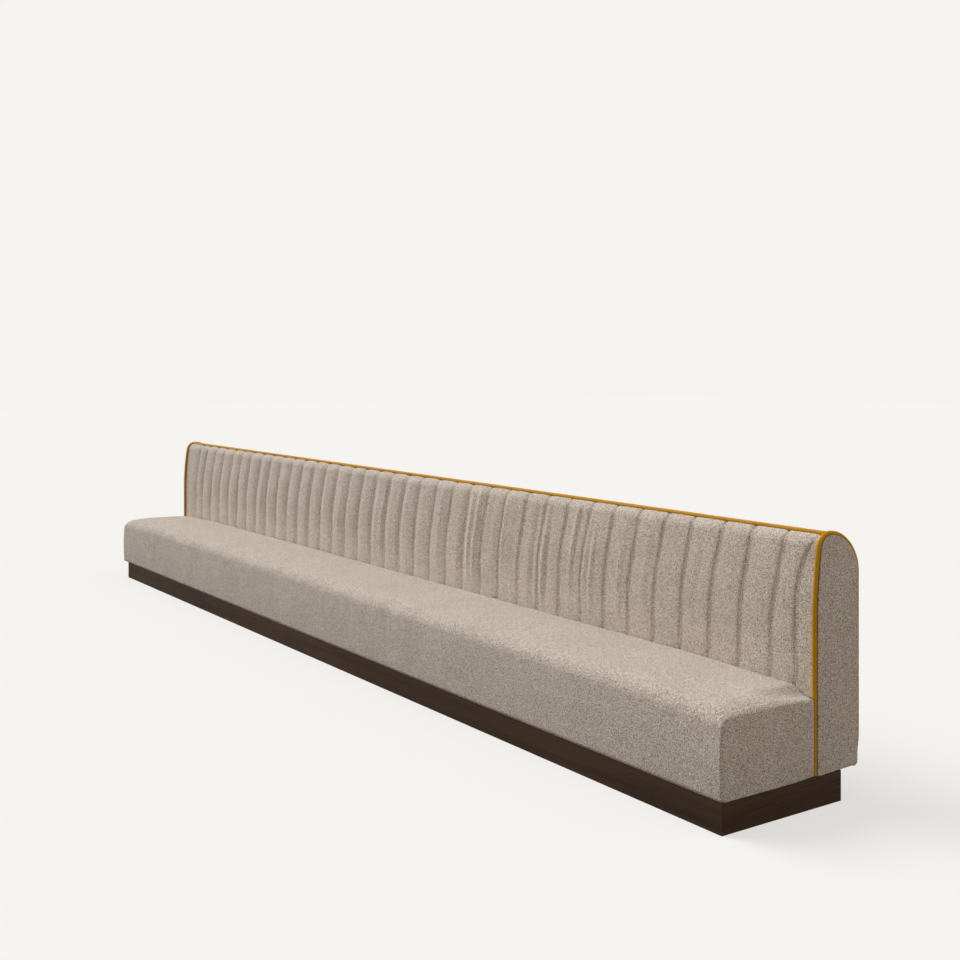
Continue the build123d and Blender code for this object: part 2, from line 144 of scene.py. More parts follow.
def end_roll(reach):
    """Drop of the top below its level at the ends: an arc that starts level and reaches the end seam at a slant,
    then a short turn over the seam into the upright end face."""
    seam_at = body_end - seat_end_edge
    run = np.clip(reach, roll_start, seam_at) - roll_start
    turn = np.clip((reach - seam_at) / seat_end_edge, 0, 1)
    over = seat_end_edge * (turn * np.tan(seat_end_turn) + 1.4 * quarter_round(turn))
    return roll_radius - np.sqrt(roll_radius ** 2 - run ** 2) + over


def top_line(reach):
    """Height of the crown along the seat: level, eased down to the height of the ends, and rolled over at the end."""
    return seat_top + (seat_end_top - seat_top) * smooth((reach - level_end) / seat_level_run) - end_roll(reach)


def end_slope(x, y):
    """Depth by which the cloth is drawn down beside the back at each end: most at the seat's rear edge, eased out
    towards the front of the seat, and nothing along the end seam itself."""
    reach = np.abs(x)
    drawn = smooth((reach - slope_from) / slope_over) * (1 - smooth((reach - slope_back_from) / slope_back_over))
    return slope_depth * smooth((y - slope_front) / slope_length) * drawn


def drawn_down(x, y, z):
    """The end slope over the top of the seat, faded out down its end face."""
    return end_slope(x, y) * smooth((z - 0.30) / 0.09)


def shares(count):
    """A row of even shares from 0 to 1, without the 0: for a part of a loop that goes on from the part before."""
    return np.linspace(0, 1, count)[None, 1:]


def seat_sections(x, top, front, rear, boxed):
    """Closed loops across the seat, one for each x: up the bulged front, round the nose, over the crowned top,
    round and down the rear, and back under the foam. Boxed loops run down to the plinth over the whole depth."""
    x, top, front, rear = (value[:, None] for value in (x, top, front, rear))
    rolled = np.clip(end_roll(np.abs(x)) / (seat_end_top - seat_end_seam), 0, 1)
    nose = nose_radius + (corner_nose_radius - nose_radius) * rolled
    crown = seat_crown * (1 - 0.75 * rolled)
    edge = top - crown
    foot = np.full_like(x, plinth_top if boxed else deck_top)
    inner = front + turned_under if boxed else np.full_like(x, board_front)
    share = np.linspace(0, 1, 22)[None, :]
    rise_y = front - seat_bulge * swell(share)
    rise_z = plinth_top + (edge - nose - plinth_top) * share
    turn = np.pi - np.pi / 2 * shares(14)
    nose_y = front + nose + nose * np.cos(turn)
    nose_z = edge - nose + nose * np.sin(turn)
    share = shares(40)
    top_y = front + nose + (rear - rear_round - front - nose) * share
    top_z = edge + crown * swell(share)
    turn = np.pi / 2 * shares(7)
    rear_y = rear - rear_round + rear_round * np.sin(turn)
    rear_z = edge - rear_round + rear_round * np.cos(turn)
    share = shares(5)
    back_y, back_z = rear + 0 * share, edge - rear_round + (foot - edge + rear_round) * share
    under_y, under_z = rear + (inner - rear) * share, foot + 0 * share
    hem_y, hem_z = inner + 0 * share, foot + (plinth_top - foot) * share
    y = np.hstack([rise_y, nose_y, top_y, rear_y, back_y, under_y, hem_y])
    z = np.hstack([rise_z, nose_z, top_z, rear_z, back_z, under_z, hem_z])
    return np.stack([x + 0 * y, y, z], axis=-1)


def seat_end(side):
    """Loops of one boxed end, from the carcass outwards, and the line of its seam. The loops are rounded over at the
    corner, drawn in to a point on the swelling end face, tucked in beside the back and nipped along the seam."""
    x = carcass_end + (body_end - carcass_end) * np.r_[np.linspace(0, 0.9, 13), 0.95, 0.985, 1.0]
    front = seat_front + corner_round * quarter_round(1 - (body_end - x) / corner_round)
    loops = seat_sections(side * x, top_line(x), front, seat_rear_at_panel + 0 * x, True)
    centre = np.array([side * body_end, *end_middle])
    draw = np.r_[0.995, 0.985, 0.965, np.linspace(0.93, 0, 14)][:, None, None]
    face = centre + (loops[-1:] - centre) * draw
    face[..., 0] += side * end_swell * smooth((1 - draw[..., 0]) / 0.3)
    loops = np.concatenate([loops, face])
    loops[..., 0] -= side * rear_tuck * quarter_round(1 - (seat_rear_at_panel - loops[..., 1]) / rear_tuck_run)
    seam = loops[seam_station, seam_start:seam_points].copy()
    grip = 0.3 + 0.7 * smooth((loops[seam_station, :seam_points, 2:] - 0.36) / 0.03)
    for step, depth in seam_groove:
        beside = loops[seam_station + step, :seam_points]
        beside += (centre - beside) * depth * grip
    return loops, seam


def seat_surface():
    """The loops of the far end, of the long middle and of the near end, and the lines of the two end seams."""
    bend = np.linspace(roll_start, carcass_end, 16)
    stations = np.unique(np.r_[
        np.linspace(-carcass_end, carcass_end, 470), np.linspace(level_end, roll_start, 55), bend, -bend])
    middle = seat_sections(
        stations, top_line(np.abs(stations)), seat_front + 0 * stations, seat_rear + 0 * stations, False)
    (far_end, far_seam), (near_end, near_seam) = seat_end(-1), seat_end(1)
    return np.concatenate([far_end[::-1], middle, near_end]), (far_seam, near_seam)


def softened(loops):
    """The loops with the slope beside the back, and with the softness of the cloth: a slight sag in the top, long
    hollows in the top and the front, and shorter pulls in the nose and the front, calmer towards the near end."""
    x, y, z = np.moveaxis(loops, -1, 0)
    inside = smooth((3.17 - np.abs(x)) / 0.30)
    on_top = inside * smooth((z - 0.36) / 0.08) * smooth((0.12 - y) / 0.10)
    on_front = inside * smooth((z - plinth_top) / 0.05) * smooth((-0.30 - y) / 0.03)
    on_nose = inside * bell((z - 0.425) / 0.035) * smooth((-0.24 - y) / 0.06)
    hollow = sway(x, y + z, 3, long=1.3, short=0.22)
    pulls = sway(x, 1.6 * z, 8, long=0.42, short=0.11) * (0.25 + 0.75 * smooth((2.4 - x) / 1.2))
    lower = drawn_down(x, y, z) - on_top * (top_hollow * hollow - top_sag) - on_nose * nose_lift * pulls
    further = on_front * (front_hollow * hollow + front_pull * pulls) + on_nose * nose_push * pulls
    return np.stack([x, y - further, z - lower], axis=-1)


seat_loops, seat_seams = seat_surface()
seat = surface("seat_upholstery", softened(seat_loops))


def shader_node(tree, kind, settings=(), **inputs):
    """Adds a node, sets its settings, and gives each named input its value or its link."""
    made = tree.nodes.new(kind)
    for key, value in dict(settings).items():
        setattr(made, key, value)
    for key, value in inputs.items():
        socket = made.inputs[int(key[1:]) if key[1:].isdigit() else key.replace("_", " ")]
        if isinstance(value, bpy.types.NodeSocket):
            tree.links.new(value, socket)
        else:
            socket.default_value = value
    return made


def maths(tree, operation, a, b):
    """Output of a Math node."""
    return shader_node(tree, "ShaderNodeMath", {"operation": operation}, i0=a, i1=b).outputs[0]


def noise(tree, place, scale, detail, distortion=0.0):
    """Output of a Noise Texture node."""
    return shader_node(
        tree, "ShaderNodeTexNoise", Vector=place, Scale=scale, Detail=detail, Distortion=distortion).outputs[0]


def blend_colours(tree, share, a, b, kind="MIX"):
    """Output of a colour Mix node: a, then b by share."""
    made = shader_node(tree, "ShaderNodeMix", {"data_type": "RGBA", "blend_type": kind}, i0=share, i6=a, i7=b)
    return made.outputs[2]


def shaded(tree, colour, level):
    """A colour darkened to a level: the colour times a grey."""
    grey = shader_node(tree, "ShaderNodeCombineColor", i0=level, i1=level, i2=level).outputs[0]
    return blend_colours(tree, 1.0, colour, grey, "MULTIPLY")


def range_of(tree, value, low, high, to_low=0.0, to_high=1.0):
    """Output of a Map Range node, clamped."""
    made = shader_node(
        tree, "ShaderNodeMapRange", {"clamp": True}, Value=value, From_Min=low, From_Max=high,
        To_Min=to_low, To_Max=to_high)
    return made.outputs[0]


def pattern_group(name, *inputs):
    """A new shader node group for the pattern of a finish, and the outputs of its place and its named inputs."""
    group = bpy.data.node_groups.new(name, "ShaderNodeTree")
    for socket, kind in (("Vector", "Vector"), *inputs):
        group.interface.new_socket(socket, in_out="INPUT", socket_type="NodeSocket" + kind)
    for socket, kind in (("Colour", "Color"), ("Height", "Float"), ("Roughness", "Float")):
        group.interface.new_socket(socket, in_out="OUTPUT", socket_type="NodeSocket" + kind)
    return group, group.nodes.new("NodeGroupInput").outputs


def put_out(group, colour, height, roughness):
    """Joins a pattern's three results to the outputs of its group, and gives the group."""
    result = group.nodes.new("NodeGroupOutput")
    for socket, value in (("Colour", colour), ("Height", height), ("Roughness", roughness)):
        group.links.new(value, result.inputs[socket])
    return group


def boucle_group():
    """Looped yarn cloth: small rounded loops with painted shade between them, pale and dark flecks, and slow changes
    of tone.
    """
    group, given = pattern_group(
        "boucle", ("Ground", "Color"), ("Pale", "Color"), ("Dark", "Color"), ("Loops", "Float"))
    place = given["Vector"]
    stir = shader_node(group, "ShaderNodeTexNoise", Vector=place, Scale=140.0, Detail=2.0)
    push = shader_node(group, "ShaderNodeVectorMath", {"operation": "SCALE"}, i0=stir.outputs["Color"], Scale=0.005)
    moved = shader_node(group, "ShaderNodeVectorMath", {"operation": "ADD"}, i0=place, i1=push.outputs[0])
    yarn = shader_node(
        group, "ShaderNodeTexVoronoi", Vector=moved.outputs[0], Scale=given["Loops"], Randomness=1.0)
    loop = range_of(group, yarn.outputs["Distance"], 0.05, 0.75, 1.0, 0.0)
    tint = shader_node(group, "ShaderNodeSeparateColor", Color=yarn.outputs["Color"])
    pale = maths(group, "MULTIPLY", range_of(group, tint.outputs[0], 0.60, 0.72), 0.85)
    dark = maths(group, "MULTIPLY", range_of(group, tint.outputs[1], 0.66, 0.78), 0.90)
    slow = noise(group, place, 5.0, 3.0)
    fuzz = noise(group, place, 900.0, 1.0)
    colour = blend_colours(group, pale, given["Ground"], given["Pale"])
    colour = blend_colours(group, dark, colour, given["Dark"])
    # Painted shade: the cloth colour is darkened to 0.56 in the hollows between the loops, where shade would fall.
    painted_shade_between_loops = range_of(group, loop, 0.0, 0.55, 0.56, 1.0)
    tone = range_of(group, slow, 0.30, 0.70, 0.95, 1.04)
    colour = shaded(group, colour, maths(group, "MULTIPLY", painted_shade_between_loops, tone))
    height = maths(group, "ADD", maths(group, "MULTIPLY", loop, 0.85), maths(group, "MULTIPLY", fuzz, 0.15))
    return put_out(group, colour, height, range_of(group, fuzz, 0.3, 0.7, 0.86, 0.98))


def material_of(name, group, sheen=0.0, bump=0.0, metallic=0.0, turn=(0, 0, 0), specular=0.5, **inputs):
    """A material whose colour, roughness and bump come from a node group on the piece's own coordinates."""
    material = bpy.data.materials.new(name)
    material.use_nodes = True
    tree = material.node_tree
    shader = tree.nodes["Principled BSDF"]
    place = shader_node(tree, "ShaderNodeTexCoord").outputs["Object"]
    place = shader_node(tree, "ShaderNodeMapping", Vector=place, Rotation=turn).outputs[0]
    pattern = shader_node(tree, "ShaderNodeGroup", {"node_tree": group}, Vector=place, **inputs)
    tree.links.new(pattern.outputs["Colour"], shader.inputs["Base Color"])
    tree.links.new(pattern.outputs["Roughness"], shader.inputs["Roughness"])
    relief = shader_node(tree, "ShaderNodeBump", Height=pattern.outputs["Height"], Distance=bump, Strength=1.0)
    tree.links.new(relief.outputs[0], shader.inputs["Normal"])
    shader.inputs["Sheen Weight"].default_value = sheen
    shader.inputs["Sheen Roughness"].default_value = 0.45
    shader.inputs["Metallic"].default_value = metallic
    shader.inputs["Specular IOR Level"].default_value = specular
    return material


boucle = boucle_group()
cloth = material_of(
    "grey_beige_boucle", boucle, sheen=0.40, bump=0.0012, specular=0.15, Loops=460.0,
    Ground=(0.735, 0.600, 0.480, 1), Pale=(0.990, 0.940, 0.860, 1), Dark=(0.170, 0.120, 0.080, 1))


def dress(piece, material, slot, *replaced):
    """Gives a new piece its material, hides the nodes that it stands for, and lets it ride on the root body. The slot
    is not used.
    """
    piece.data.materials.clear()
    piece.data.materials.append(material)
    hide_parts(*replaced)
    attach(piece, "root")


dress(seat, cloth, "upholstery",
      "seat_cover", "seat_foam", "seat_front_pad", "near_seat_end_pad", "far_seat_end_pad")

# Stitching: a row of short stitches down each end seam of the seat, where the long cloth is sewn to the boxed end.
# It is upholstery thread, a shade darker than the cloth, and each stitch tapers into it at both ends.
stitch_spacing = 0.0090
stitch_length = 0.0062
stitch_radius = 0.0010
stitch_side = (0.62, 0.55, 0.56)


def lengths_along(line):
    """Length of a line of points up to each of its points."""
    return np.r_[0, np.cumsum(np.linalg.norm(np.diff(line, axis=0), axis=1))]


def on_line(line, at):
    """Points on a line at the given lengths along it."""
    lengths = lengths_along(line)
    return np.stack([np.interp(at, lengths, part) for part in line.T], axis=-1)


def unit(vectors):
    """The same directions, each of length 1."""
    return vectors / np.linalg.norm(vectors, axis=-1, keepdims=True)


def circles(across, up, sides):
    """Circles of points round the origin, one for each pair of directions: cosine times one, sine times the other."""
    turn = np.linspace(0, 2 * np.pi, sides, endpoint=False)[:, None]
    return across[..., None, :] * np.cos(turn) + up[..., None, :] * np.sin(turn)


def stitches(name, lines):
    """Rounded stitches at an even spacing along each line: five six-sided rings each, thickest at mid stitch."""
    share = np.array([0, 0.12, 0.5, 0.88, 1])
    size = stitch_radius * np.array([0, 0.8, 1, 0.8, 0])[:, None, None]
    rows = []
    for line in lines:
        starts = np.arange(stitch_spacing, lengths_along(line)[-1] - stitch_spacing, stitch_spacing)
        centre = on_line(line, starts[:, None] + share * stitch_length)
        along = unit(centre[:, -1] - centre[:, 0])
        across = unit(np.cross(along, stitch_side))
        ring = circles(across, np.cross(along, across), 6)
        rows.append(centre[:, :, None] + ring[:, None] * size)
    points = np.concatenate(rows)
    return closed_piece(name, points, rounds(np.arange(points[..., 0].size).reshape(points.shape[:-1])))


thread = material_of(
    "dark_taupe_thread", boucle, sheen=0.1, bump=0.0002, specular=0.2, Loops=900.0,
    Ground=(0.200, 0.155, 0.115, 1), Pale=(0.330, 0.270, 0.210, 1), Dark=(0.120, 0.090, 0.065, 1))
for seam in seat_seams:
    seam[:, 2] -= drawn_down(*seam.T)
dress(stitches("seat_corner_stitching", seat_seams), thread, "upholstery")

# Channelled back: strips of wadding between sewn valleys, made as three panels that meet in a valley. The cloth
# is sewn to a backing along each valley, filled, and drawn sideways over the brow to the crest piping, so the
# valleys lean near the top and a loose strip shows long soft ripples.
crest = 0.126
overall_rear = 0.359
body_top = 1.005
lean_radius, lean_turn = 1.850, 9.0
brow_radius = 0.058
shoulder_radius, shoulder_turn = 0.140, 24.0
haunch_turn = 50.0
haunch_tail_share = 0.75
heel_radius = 0.018
arc_points = 40
lean_foot = body_top - brow_radius - (lean_radius - brow_radius) * sin(radians(lean_turn))
brow_centre = np.array([crest + lean_radius - cos(radians(lean_turn)) * (lean_radius - brow_radius),
                        body_top - brow_radius])
crest_piping_turn = 12.0
under_piping_turn = 8.5

near_strip, far_strip, narrow_channel = 0.110, 0.224, 0.128
full_channels = 35
channel_depth = 0.0432
drop_at_back = 0.0055
foot_below_seat = 0.022
valley_lean, lean_from, lean_over = 0.044, 0.58, 0.44
corner_lean, corner_from, corner_over, corner_shift = 0.083, 0.70, 0.306, 0.003

near_roll, far_roll, foot_roll = 0.018, 0.012, 0.014
valley_at_foot, valley_depth, valley_at_crest = 0.013, 0.024, 0.009
bound_valley_share = 0.22
welt_place, welt_width, welt_height = 0.0095, 0.0042, 0.0040
fold_height = 0.0110
unevenness = 0.0016
proudest = -0.006
least_thickness = 0.010


def arc(centre, radius, start, end):
    """Points of an arc in the YZ plane: the centre plus the radius times cosine and sine of even angles."""
    turn = np.radians(np.linspace(start, end, arc_points))
    return np.stack([centre[0] + radius * np.cos(turn), centre[1] + radius * np.sin(turn)], axis=-1)


def back_line(inset):
    """Outline of the back from its front foot over the brow, shoulder, haunch and tail to its rear foot. Each arc
    runs smoothly into the next, and the haunch and the tail share the depth that is left to the rear."""
    lean_centre = (crest + lean_radius, lean_foot)
    shoulder = np.array([brow_centre[0], body_top - shoulder_radius])
    haunch_from, tail_from = radians(shoulder_turn), radians(shoulder_turn + haunch_turn)
    run = overall_rear - shoulder[0] - shoulder_radius * sin(haunch_from)
    haunch_radius = run / (sin(tail_from) - sin(haunch_from) + haunch_tail_share * (1 - sin(tail_from)))
    haunch = shoulder + np.array([sin(haunch_from), cos(haunch_from)]) * (shoulder_radius - haunch_radius)
    tail_radius = haunch_tail_share * haunch_radius
    tail = haunch + np.array([sin(tail_from), cos(tail_from)]) * (haunch_radius - tail_radius)
    heel = (overall_rear - heel_radius, plinth_top + heel_radius)
    return np.concatenate([
        [[crest + inset, plinth_top]],
        arc(lean_centre, lean_radius - inset, 180, 180 - lean_turn),
        arc(brow_centre, brow_radius - inset, 180 - lean_turn, 90)[1:],
        arc(shoulder, shoulder_radius - inset, 90, 90 - shoulder_turn)[1:],
        arc(haunch, haunch_radius - inset, 90 - shoulder_turn, 90 - shoulder_turn - haunch_turn)[1:],
        arc(tail, tail_radius - inset, 90 - shoulder_turn - haunch_turn, 0)[1:],
        arc(heel, heel_radius - inset, 0, -90)])


def channel_edges():
    """Places of the valleys along the bench, from the near end to the far end."""
    pitch = (2 * body_end - near_strip - far_strip - 2 * narrow_channel) / full_channels
    first = body_end - near_strip
    inner = first - narrow_channel - pitch * np.arange(full_channels + 1)
    return np.r_[carcass_end, first, inner, inner[-1] - narrow_channel, -carcass_end]


def valley_drift(number, height):
    """How far a valley runs sideways by a height: an eased rise of some 44 mm, a little different for each valley.
    The first one curves out into the near corner of the crest instead, and the ends stay straight."""
    if number in (0, full_channels + 4):
        return 0 * height
    if number == 1:
        return corner_lean * np.clip((height - corner_from) / corner_over, 0, 1) ** 2.8 - corner_shift
    rng = np.random.default_rng(70 + number)
    pull, wave, phase = rng.uniform(0.85, 1.15), rng.uniform(0.0002, 0.0007), rng.uniform(0, 6.3)
    return valley_lean * pull * smooth((height - lean_from) / lean_over) + wave * np.sin(height * 16 + phase)


def across_strip(half):
    """Places across a strip of that half width, from -1 in its near valley to 1 in its far one, closest together
    beside the valleys."""
    edge = np.array([0, 0.001, 0.0022, 0.0038, 0.0056, 0.0076, 0.0098, 0.0125, 0.016, 0.021, 0.028]) / half
    return np.r_[edge - 1, np.linspace(edge[-1] - 1, 1 - edge[-1], 13)[1:-1], 1 - edge[::-1]]


def filled_depth(number, share, half, climb, left):
    """Depth of a filled strip below the back's line, by the share across it, the climb from the seat and the length
    left to the crest: rolls of a quarter round into the valleys, a pillow between them that is fuller on the strips
    further along, a face that slants towards its near valley, and a narrow welt beside its far one."""
    from_edge = (1 - np.abs(share)) * half
    roll = np.where(share > 0, far_roll, near_roll) + foot_roll * (1 - smooth(climb / 0.045))
    rolled = quarter_round(1 - from_edge / roll)
    deep = valley_at_foot + (valley_depth - valley_at_foot) * smooth(climb / 0.16)
    deep = valley_at_crest + (deep - valley_at_crest) * smooth(left / 0.110) ** 0.8
    bound = (number == 0) * (share < 0) + (number == full_channels + 3) * (share > 0)
    pillow = 0.16 + 0.50 * smooth((number - 8) / 14)
    depth = deep * (rolled * (1 - pillow) + pillow * np.abs(share) ** 2.6) * np.where(bound, bound_valley_share, 1.0)
    slant = 0.0042 + 0.0028 * smooth((number - 12) / 12)
    depth = depth + slant * (1 - share) / 2 * smooth(left / 0.08) * (1 - rolled)
    welt = bell((from_edge - welt_place) / welt_width) * (share > 0) * (1 - bound)
    return depth - welt_height * welt * smooth(climb / 0.02) * smooth(left / 0.05)


def loose_folds(rng, number, share, climb):
    """Two long soft ripples up a strip, from -0.7 to 1.4 high: bells across it that waver a little, and bells up it.
    The strips next to the ends and those of the far half are tighter."""
    looseness = rng.choice([0.30, 0.65, 1.00, 1.40])
    looseness = looseness * smooth((number - 1) / 5) * (1 - 0.8 * smooth((number - 15) / 8))
    folds = 0 * climb
    for centre in rng.uniform(-0.65, 0.65, 2):
        waver = 0.07 * np.sin(climb * rng.uniform(3, 6) + rng.uniform(0, 6.3))
        middle = rng.uniform(0.15, 0.50)
        reach = bell((climb - middle) / rng.uniform(0.20, 0.45))
        folds = folds + rng.uniform(-0.5, 1) * reach * bell((share - centre - waver) / rng.uniform(0.14, 0.24))
    return folds * looseness


def capped(rings):
    """Rings with both ends closed to a point, at the middle of the first and of the last."""
    middle = rings.mean(axis=1, keepdims=True) + 0 * rings
    return np.concatenate([middle[:1], rings, middle[-1:]])


def channel_surface(first, last, seed):
    """A panel of channels from one valley to another. Its face is the back's lean and brow, from behind the seat's
    rear edge up to the crest piping, moved inwards by each strip's depth and sideways by its valleys' drift, on
    rows that are a little closer together half way up. Its rear runs parallel to the plain line."""
    rng = np.random.default_rng(seed)
    brow = arc(brow_centre, brow_radius, 180 - lean_turn, 90 + crest_piping_turn + under_piping_turn)
    front = np.concatenate([back_line(0)[:arc_points + 1], brow[1:]])
    length = lengths_along(front)[-1]
    up = np.linspace(0, 1, 116)[None, :]
    up = up + 0.30 * np.sin(2 * np.pi * up) / (2 * np.pi)
    strips = []
    for number in range(first, last):
        near, far = valleys[number], valleys[number + 1]
        half = (near - far) / 2
        share = across_strip(half)
        share = (share if number == last - 1 else share[:-1])[:, None]
        place = near - half * (share + 1)
        seat_at_back = top_line(np.abs(place)) - drop_at_back - end_slope(place, crest)
        start = seat_at_back - foot_below_seat - plinth_top
        at = start + (length - start) * up
        left, climb = length - at, at - start - foot_below_seat
        base = on_line(front, at)
        along = unit(on_line(front, at + 0.002) - on_line(front, at - 0.002))
        inward = np.stack([along[..., 1], -along[..., 0]], axis=-1)
        near_x = near + valley_drift(number, base[..., 1])
        far_x = far + valley_drift(number + 1, base[..., 1])
        across = near_x + (far_x - near_x) * (share + 1) / 2
        calm = smooth(climb / 0.10) * smooth(left / 0.09) * (1 - share ** 6)
        narrowed = smooth((near_x - far_x) / (2 * half) / 0.7)
        depth = filled_depth(number, share, half, climb, left)
        depth = depth - fold_height * loose_folds(rng, number, share, climb) * calm * narrowed
        depth = depth - unevenness * sway(base[..., 1], 0.3 * across, 300 + number, long=0.5, short=0.1) * calm
        depth = np.clip(depth, proudest, channel_depth - least_thickness)
        face = np.concatenate([across[..., None], base + inward * depth[..., None]], axis=-1)
        rear = np.concatenate([across[..., None], base + inward * channel_depth], axis=-1)[:, ::-1]
        strips.append(np.concatenate([face, rear[:, ::12], rear[:, -1:]], axis=1))
    return capped(np.concatenate(strips))


# Painted light: a lighter copy of the seat's cloth for the channelled back, standing in for the brighter light that
# the channels catch from the seat top.
painted_lighter_cloth = material_of(
    "grey_beige_boucle_painted_lighter", boucle, sheen=0.45, bump=0.0012, specular=0.15, Loops=460.0,
    Ground=(0.850, 0.705, 0.570, 1), Pale=(1.000, 0.970, 0.900, 1), Dark=(0.230, 0.170, 0.120, 1))
valleys = channel_edges()
per_section = (len(valleys) - 1) // 3
for number, name in enumerate(("near", "middle", "far")):
    strips = channel_surface(number * per_section, (number + 1) * per_section, 20 + number)
    panel = surface(f"{name}_channelled_back", strips)
    dress(panel, painted_lighter_cloth, "upholstery", f"{name}_back_channels")

# Outside back: one length of the same cloth over thin wadding, from under the crest piping over the shoulder and
# down to a rounded heel, stapled under the rear rail. It is joined by two plain seams behind the section joints.
back_wadding = 0.014
under_edge = 0.259
section_joints = (valleys[per_section], valleys[2 * per_section])
joint_width, joint_depth = 0.006, 0.003
joint_steps = (-0.02, -0.008, -0.003, 0, 0.003, 0.008, 0.02)
back_softness = 0.0007


def even(line, count):
    """The same line as count points at even steps along it."""
    return on_line(line, np.linspace(0, lengths_along(line)[-1], count))


def outside_surface():
    """The rear outline carried along the bench as a closed pad, its outer side drawn in at the two seams by a bell
    curve each, and a little unevenly between the ends."""
    outer = back_line(0)
    turn = np.degrees(np.arctan2(outer[:, 1] - brow_centre[1], outer[:, 0] - brow_centre[0]))
    behind = (turn < 90 + crest_piping_turn - under_piping_turn) & (outer[:, 1] > brow_centre[1])
    outer = even(np.concatenate([outer[np.argmax(behind):], [[under_edge, plinth_top]]]), 110)
    inner = back_line(back_wadding)
    inner = np.concatenate([inner[inner[:, 0] > outer[0, 0]], [[under_edge, plinth_top + back_wadding]]])
    inner = even(inner[inner[:, 1] >= plinth_top + back_wadding - 1e-6], 30)[::-1]
    loop = np.concatenate([outer, inner])
    joints = [joint + step for joint in section_joints for step in joint_steps]
    x = np.unique(np.r_[np.linspace(-carcass_end, carcass_end, 150), joints])[:, None]
    seam = sum(bell((x - joint) / joint_width) for joint in section_joints)
    soft = 1 + sway(x, loop[None, :, 1], 31, long=1.1, short=0.3)
    drawn = joint_depth * seam + back_softness * soft * smooth((carcass_end - np.abs(x)) / 0.1)
    drawn = drawn * np.r_[np.ones(len(outer)), np.zeros(len(inner))]
    along = unit(np.gradient(loop, axis=0))
    inward = np.stack([along[:, 1], -along[:, 0]], axis=-1)
    rings = np.concatenate([(x + 0 * drawn)[..., None], loop + inward * drawn[..., None]], axis=-1)
    return capped(rings)


outside = surface("outside_back_cover", outside_surface())
dress(outside, cloth, "upholstery", "outside_back")

# End panels: a board padded and covered in the same cloth, fitted inside the piping on each end of the back. The
# cloth is tight over it, so the panel swells past the piping and turns in to it along a rounded edge.
panel_inset = 0.0073
panel_lip = 3.1953
panel_lip_inset = 0.0040
panel_edge = 0.009
panel_swell = 0.0030
panel_middle = (0.245, 0.600)
panel_softness = 0.0006
panel_points = 260


def panel_surface(side):
    """Rings of the back's outline, drawn in to a point on the outer face: in from the board behind the piping, out
    past it, round the edge in a quarter turn, and over a face that swells towards its middle."""
    narrow = even(back_line(panel_inset), panel_points)
    middle = np.array(panel_middle)
    rings = [(carcass_end, middle + 0 * narrow), (carcass_end, narrow), (panel_lip, narrow)]
    for turn in np.linspace(0, np.pi / 2, 7):
        inset = panel_lip_inset + panel_edge * (1 - np.cos(turn))
        out = panel_lip + (body_end - panel_lip) * np.sin(turn)
        rings.append((out, even(back_line(inset), panel_points)))
    inmost = rings[-1][1]
    for share in np.r_[0.985, 0.96, 0.92, np.linspace(0.86, 0, 16)]:
        rings.append((body_end + panel_swell * smooth((1 - share) / 0.45), middle + (inmost - middle) * share))
    x = np.array([out for out, _ in rings])[:, None]
    y, z = np.moveaxis(np.array([ring for _, ring in rings]), -1, 0)
    soft = smooth((z - plinth_top) / 0.05) * sway(y * 3, z, 40 + side, long=0.6, short=0.2)
    x = x + panel_softness * soft * (x > panel_lip)
    return np.stack([side * x, y, z], axis=-1)


for name, side in (("near", 1), ("far", -1)):
    panel = surface(f"{name}_end_panel_cover", panel_surface(side))
    dress(panel, cloth, "upholstery", f"{name}_back_end_panel")

# Piping: cord wrapped in mustard cloth cut on the bias, one length along the crest and one round each end, from
# the seat's foot up the front, over the brow, down the rear and tucked in round the heel. They meet in a plain butt.
piping_radius = 0.009
piping_inset = -0.002
heel_inset = 0.006
heel_from, heel_over = 0.93, 0.05
end_piping_at = 3.186
crest_piping_end = end_piping_at - 0.0075
end_piping_points = 520
piping_unevenness, piping_fullest = 0.018, 1.02


def tube(name, line, sides, seed):
    """Round cord along a line of points: rings square to it, a little uneven, closed to a point at both ends."""
    along = unit(np.gradient(line, axis=0))
    across = unit(np.cross(along, np.where(np.abs(along[:, :1]) > 0.9, [[0.0, 1.0, 0.0]], [[1.0, 0.0, 0.0]])))
    lengths = lengths_along(line)
    size = piping_radius * (1 + piping_unevenness * sway(lengths, 0 * lengths, seed, long=0.07, short=0.02))
    size = np.minimum(size, piping_radius * piping_fullest)[:, None, None]
    points = line[:, None] + circles(across, np.cross(along, across), sides) * size
    ends = [np.broadcast_to(line[k], points[:1].shape) for k in (0, -1)]
    return surface(name, np.concatenate([ends[0], points, ends[1]]))


def bias_group():
    """Plain woven cloth cut on the bias: two crossed sets of fine threads at a slant, with slight changes of tone."""
    group, given = pattern_group("bias_cloth", ("Thread", "Color"), ("Shadow", "Color"), ("Threads", "Float"))
    place = given["Vector"]
    waves = []
    for turn in ((0.6, 0.5, 0.8), (-0.6, 0.9, -0.7)):
        lay = shader_node(group, "ShaderNodeMapping", Vector=place, Rotation=turn).outputs[0]
        wave = shader_node(
            group, "ShaderNodeTexWave", {"wave_type": "BANDS", "bands_direction": "X"}, Vector=lay,
            Scale=given["Threads"], Distortion=1.5, Detail=1.0)
        waves.append(wave.outputs["Fac"])
    weave = maths(group, "MULTIPLY", maths(group, "ADD", *waves), 0.5)
    raised = range_of(group, weave, 0.15, 0.6, 0.25, 1.0)
    slow = range_of(group, noise(group, place, 18.0, 2.0), 0.3, 0.7, 0.85, 1.0)
    colour = blend_colours(group, maths(group, "MULTIPLY", raised, slow), given["Shadow"], given["Thread"])
    return put_out(group, colour, weave, range_of(group, weave, 0.0, 1.0, 0.85, 0.65))


